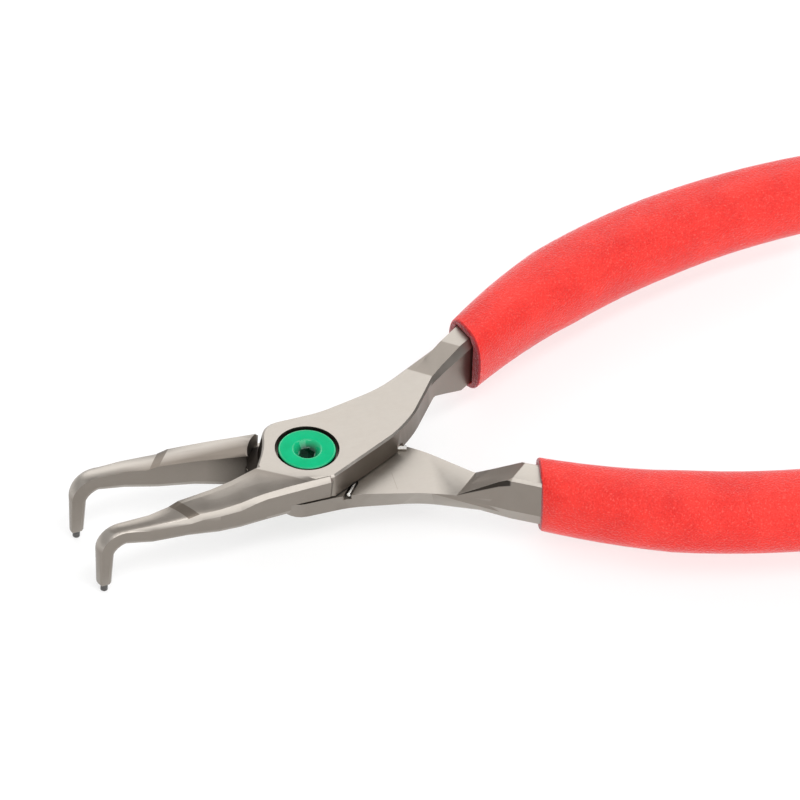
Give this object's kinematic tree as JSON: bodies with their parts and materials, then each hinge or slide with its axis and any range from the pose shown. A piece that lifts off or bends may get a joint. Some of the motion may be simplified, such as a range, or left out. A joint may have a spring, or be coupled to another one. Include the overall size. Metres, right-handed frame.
{
  "type": "circlip pliers",
  "caption": "Circlip pliers with tips bent at a right angle for rings inside a bore: lapped forged levers, screw pivot, hairpin return spring, hardened tip pins and dipped handles",
  "frame": {"origin": "on the pivot axis, at the centre of the pivot screw's lower end face", "axes": "+Z is the pivot axis and points to the side of the screw's head; the jaws reach to -X and their tips bend down to -Z; the handles run to +X; +Y is the side of the upper lever's handle"},
  "size_m": [0.1751, 0.1056, 0.0205],
  "materials": {
    "lever_steel": "satin, nickel-like plating over a fine ground surface",
    "screw_lacquer": "glossy green lacquer",
    "spring_steel": "drawn wire",
    "pin_steel": "dark hardened steel",
    "sleeve_plastic": "dipped soft plastic, finely pebbled"
  },
  "bodies": {
    "lower_half": {"lever_lower": "lever_steel", "sleeve_lower": "sleeve_plastic", "tip_pin_lower": "pin_steel", "pivot_screw": "screw_lacquer", "return_spring": "spring_steel"},
    "upper_half": {"lever_upper": "lever_steel", "sleeve_upper": "sleeve_plastic", "tip_pin_upper": "pin_steel"}
  },
  "joints": [
    {"name": "pivot", "type": "hinge", "parent": "lower_half", "child": "upper_half", "pos_m": [0, 0, 0], "axis": [0, 0, -1], "range_deg": [0, 15.5], "stiffness_Nm_per_rad": 1.5, "springref_deg": -8.59, "deforming": ["return_spring"]}
  ]
}
